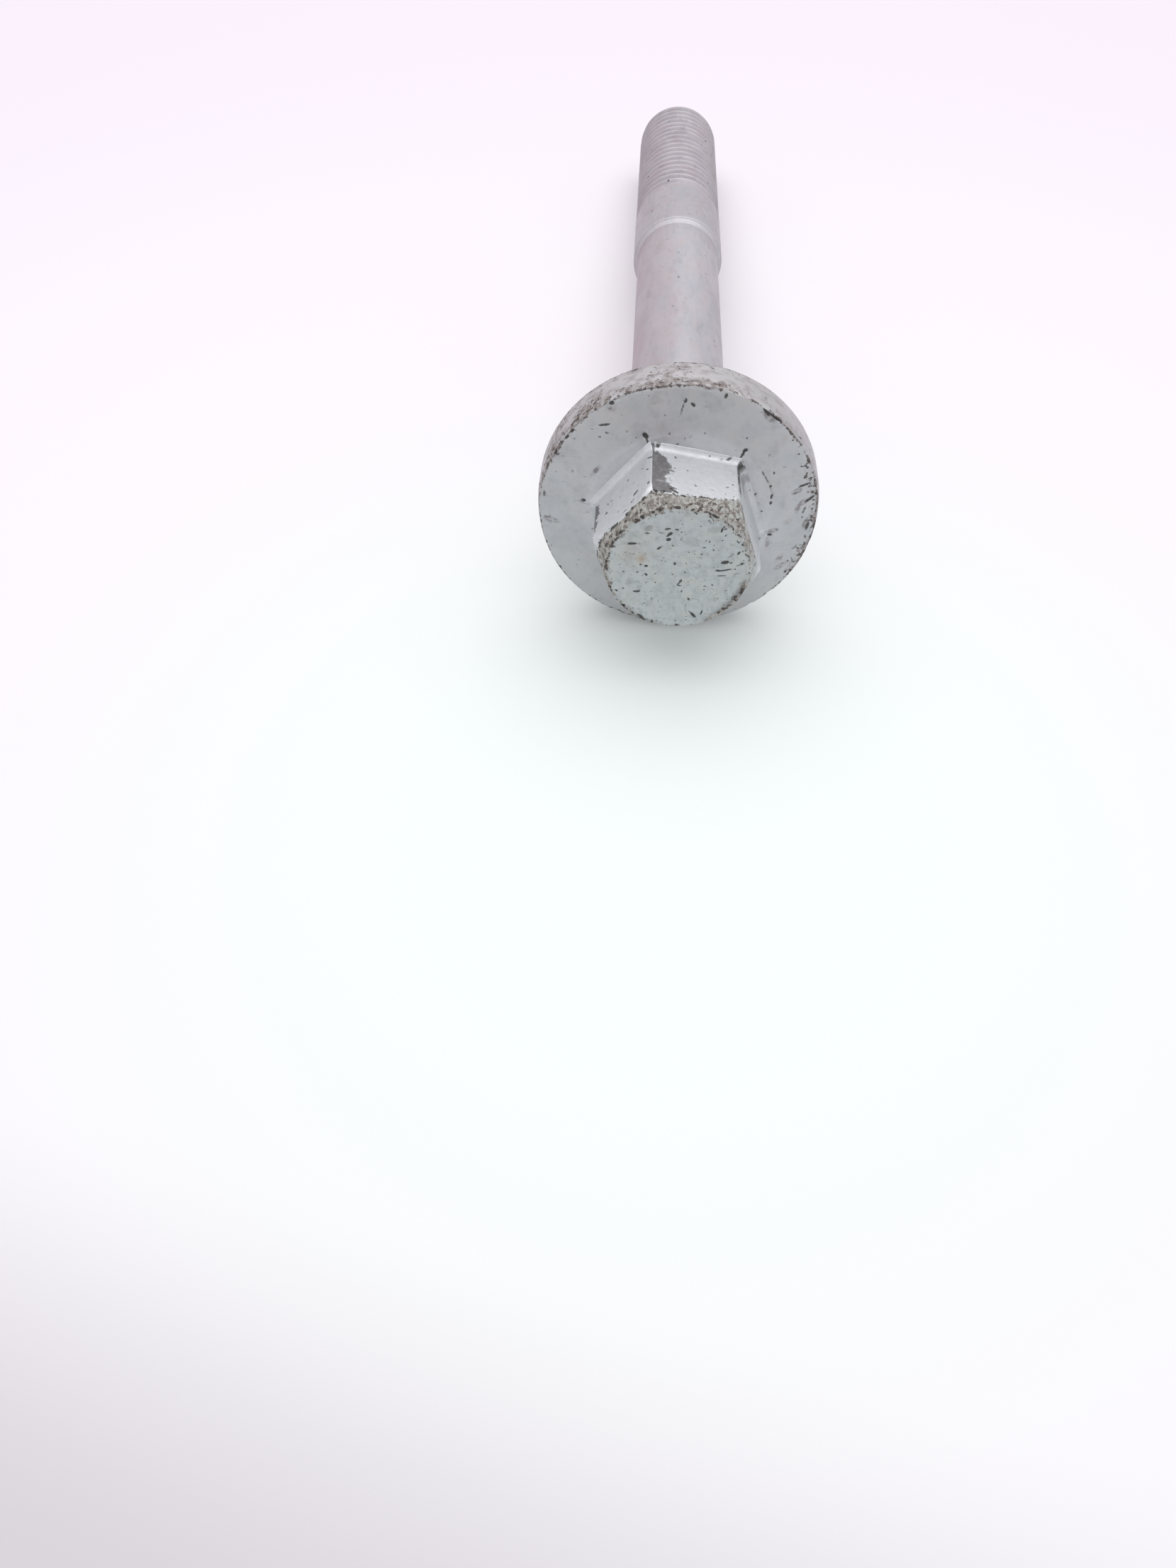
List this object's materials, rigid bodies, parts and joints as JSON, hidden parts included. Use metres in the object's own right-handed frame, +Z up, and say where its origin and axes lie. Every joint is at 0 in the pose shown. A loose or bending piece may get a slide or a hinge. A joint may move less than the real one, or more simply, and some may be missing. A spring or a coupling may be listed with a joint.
{
  "type": "hex flange bolt",
  "caption": "Long hexagon flange bolt with a reduced shank, a plain guide band, a coarse rolled thread and a plain lead point.",
  "frame": {"origin": "centre of the bearing face under the flange, on the bolt's axis", "axes": "+Y along the bolt's axis from the bearing face towards the lead point; the head lies toward -Y; +Z up with the bolt lying on its side; one corner of the hexagon points 10 degrees below +X"},
  "size_m": [0.0288, 0.1166, 0.0288],
  "materials": {
    "head_zinc": "worn zinc plate, satin",
    "flange_zinc": "worn zinc plate, satin, dirt along the rim",
    "shank_zinc": "mottled zinc plate, matt",
    "thread_zinc": "mottled zinc plate, matt, darker in the grooves"
  },
  "bodies": {
    "root": {"hex_head": "head_zinc", "flange": "flange_zinc", "shank": "shank_zinc", "guide_band": "shank_zinc", "thread": "thread_zinc", "lead_point": "thread_zinc"}
  },
  "joints": []
}
